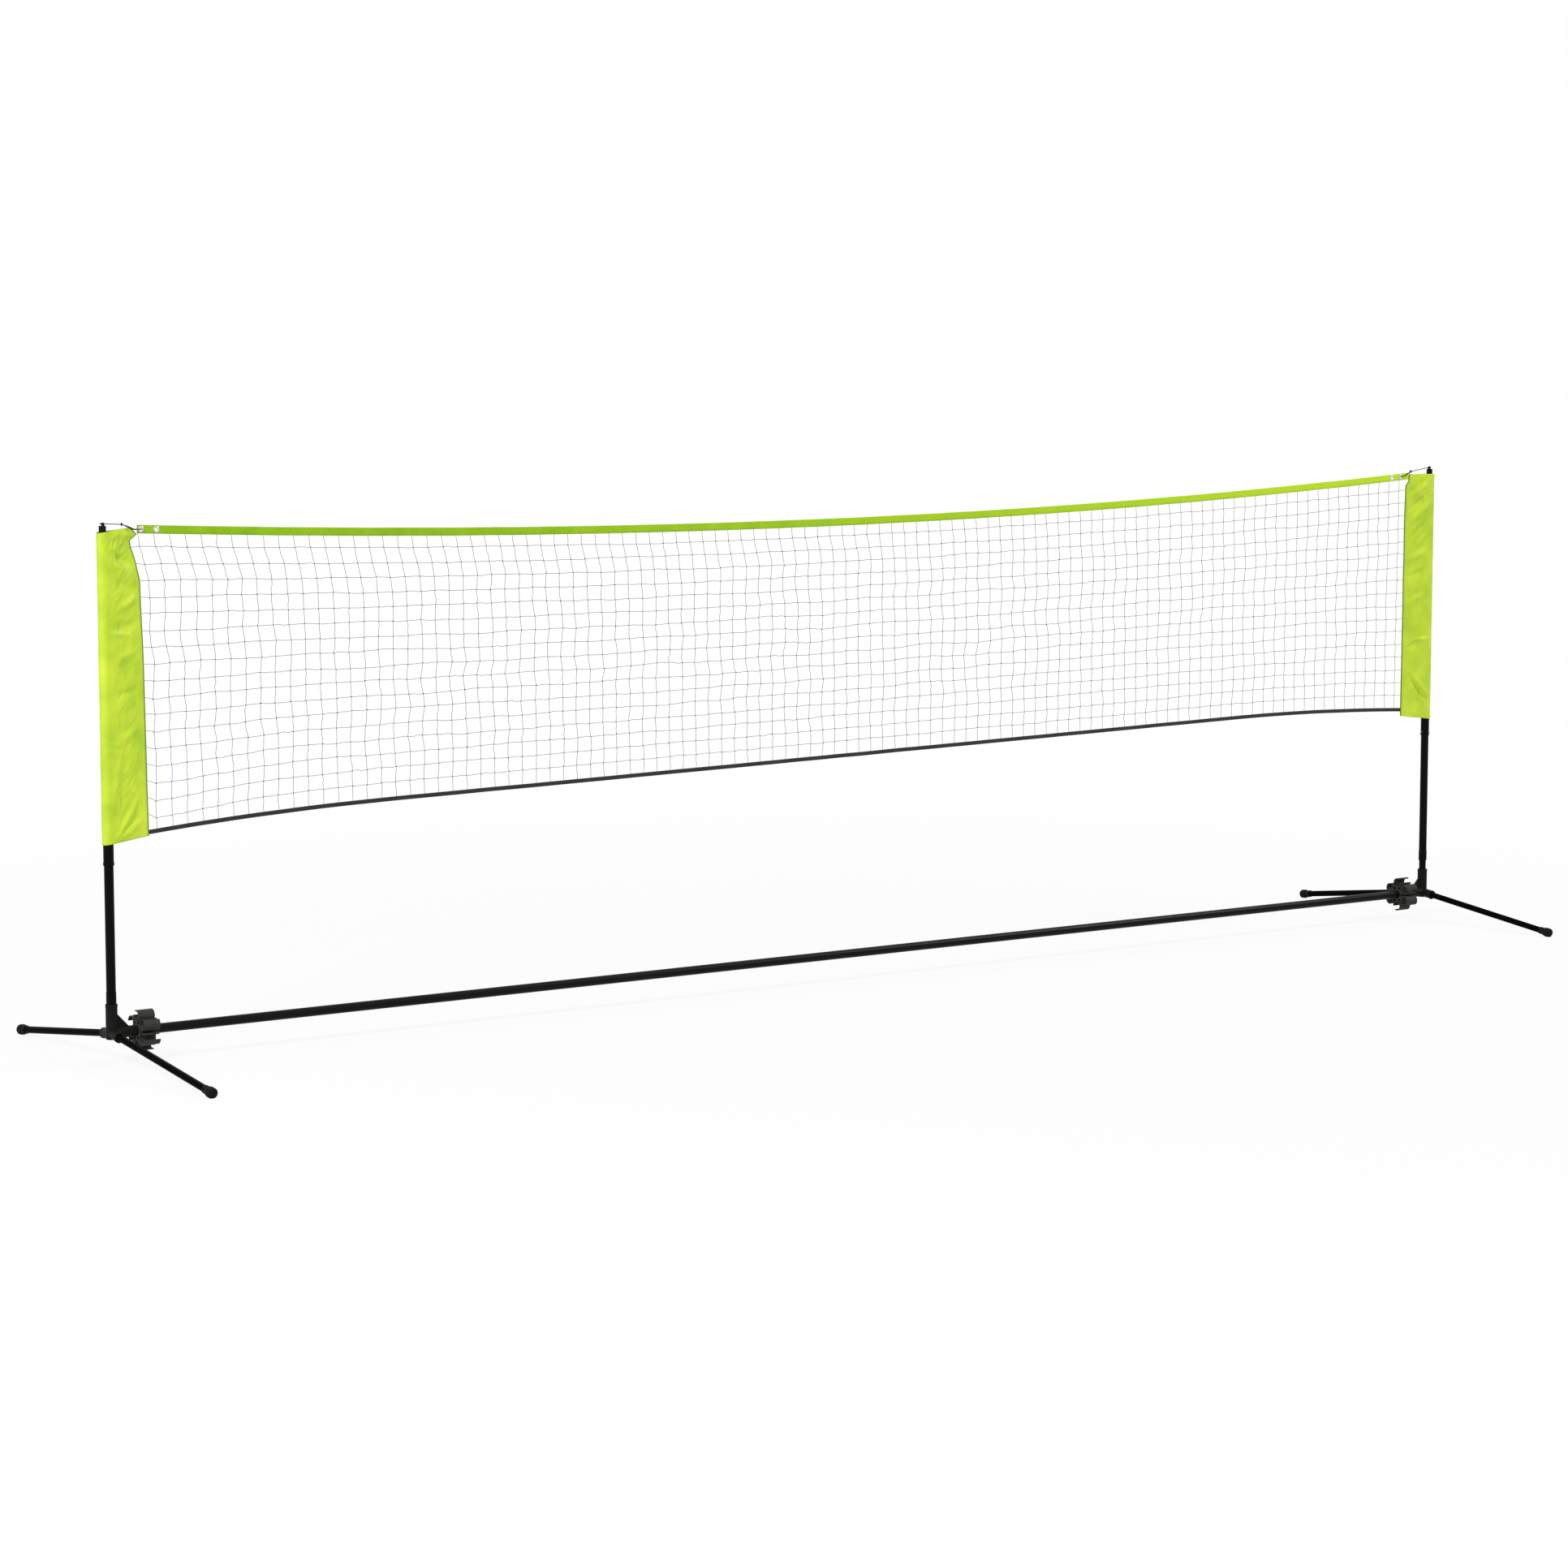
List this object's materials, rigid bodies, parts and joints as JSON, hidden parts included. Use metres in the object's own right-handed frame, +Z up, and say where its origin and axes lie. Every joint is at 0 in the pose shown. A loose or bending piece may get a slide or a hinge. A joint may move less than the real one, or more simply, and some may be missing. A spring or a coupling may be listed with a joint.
{
  "type": "portable net on poles",
  "caption": "Portable sports net stretched between telescopic poles on a ground crossbar, with fabric pole sleeves, splayed legs and storage clips.",
  "frame": {"origin": "on the ground, half way between the two posts", "axes": "+X along the net towards the higher pole, +Y across the net, +Z up"},
  "size_m": [4.129, 0.9986, 1.29],
  "materials": {
    "hub_plastic": "satin",
    "black_tube": "satin",
    "foot_rubber": "matte",
    "steel": "satin",
    "cap_plastic": "satin",
    "clip_plastic": "satin",
    "green_nylon": "matte",
    "green_tape": "matte",
    "black_tape": "matte",
    "net_cord": "matte",
    "nickel": "bright",
    "black_cord": "matte",
    "hook_plastic": "gloss"
  },
  "bodies": {
    "base": {"base_hub_left": "hub_plastic", "pole_stub_left": "black_tube", "lower_pole_left": "black_tube", "button_spring_left": "steel", "base_hub_right": "hub_plastic", "pole_stub_right": "black_tube", "lower_pole_right": "black_tube", "button_spring_right": "steel", "crossbar_tube_1": "black_tube", "crossbar_tube_2": "black_tube", "crossbar_tube_3": "black_tube", "crossbar_tube_4": "black_tube"},
    "left_pole": {"upper_pole_left": "black_tube", "pole_cap_left": "cap_plastic", "pole_sleeve_left": "green_nylon", "top_tape": "green_tape", "bottom_tape": "black_tape", "net": "net_cord", "eyelets_left": "nickel", "eyelets_right": "nickel", "tie_cord_left": "black_cord", "tie_knots_left": "black_cord", "tie_hook_left": "hook_plastic"},
    "right_pole": {"upper_pole_right": "black_tube", "pole_cap_right": "cap_plastic", "pole_sleeve_right": "green_nylon", "tie_cord_right": "black_cord", "tie_knots_right": "black_cord", "tie_hook_right": "hook_plastic"},
    "button_left": {"snap_button_left": "steel"},
    "clip_left": {"storage_clip_left": "clip_plastic"},
    "leg_front_left": {"leg_tube_front_left": "black_tube", "foot_cap_front_left": "foot_rubber"},
    "leg_rear_left": {"leg_tube_rear_left": "black_tube", "foot_cap_rear_left": "foot_rubber"},
    "button_right": {"snap_button_right": "steel"},
    "clip_right": {"storage_clip_right": "clip_plastic"},
    "leg_front_right": {"leg_tube_front_right": "black_tube", "foot_cap_front_right": "foot_rubber"},
    "leg_rear_right": {"leg_tube_rear_right": "black_tube", "foot_cap_rear_right": "foot_rubber"}
  },
  "joints": [
    {"name": "height_left", "type": "slide", "parent": "base", "child": "left_pole", "axis": [0, 0, 1], "range_m": [-0.276, 0], "deforming": ["snap_button_left", "button_spring_left"]},
    {"name": "height_right", "type": "slide", "parent": "base", "child": "right_pole", "axis": [0, 0, 1], "range_m": [-0.276, 0], "deforming": ["snap_button_right", "button_spring_right"]},
    {"name": "button_press_left", "type": "slide", "parent": "base", "child": "button_left", "axis": [-1, 0, 0], "range_m": [0, 0.0026], "stiffness_N_per_m": 1500, "springref_m": -0.002, "deforming": ["button_spring_left"]},
    {"name": "button_press_right", "type": "slide", "parent": "base", "child": "button_right", "axis": [1, 0, 0], "range_m": [0, 0.0026], "stiffness_N_per_m": 1500, "springref_m": -0.002, "deforming": ["button_spring_right"]},
    {"name": "leg_pull_front_left", "type": "slide", "parent": "base", "child": "leg_front_left", "axis": [0, -0.9925, -0.1226], "range_m": [0, 0.06]},
    {"name": "leg_pull_rear_left", "type": "slide", "parent": "base", "child": "leg_rear_left", "axis": [0, 0.9925, -0.1226], "range_m": [0, 0.06]},
    {"name": "leg_pull_front_right", "type": "slide", "parent": "base", "child": "leg_front_right", "axis": [0, -0.9925, -0.1226], "range_m": [0, 0.06]},
    {"name": "leg_pull_rear_right", "type": "slide", "parent": "base", "child": "leg_rear_right", "axis": [0, 0.9925, -0.1226], "range_m": [0, 0.06]},
    {"name": "clip_turn_left", "type": "hinge", "parent": "base", "child": "clip_left", "pos_m": [-1.97, 0, 0.072], "axis": [1, 0, 0], "continuous": true},
    {"name": "clip_turn_right", "type": "hinge", "parent": "base", "child": "clip_right", "pos_m": [1.97, 0, 0.072], "axis": [1, 0, 0], "continuous": true}
  ],
  "couplings": [
    {"joint": "height_right", "follows": "height_left", "ratio": 1}
  ]
}
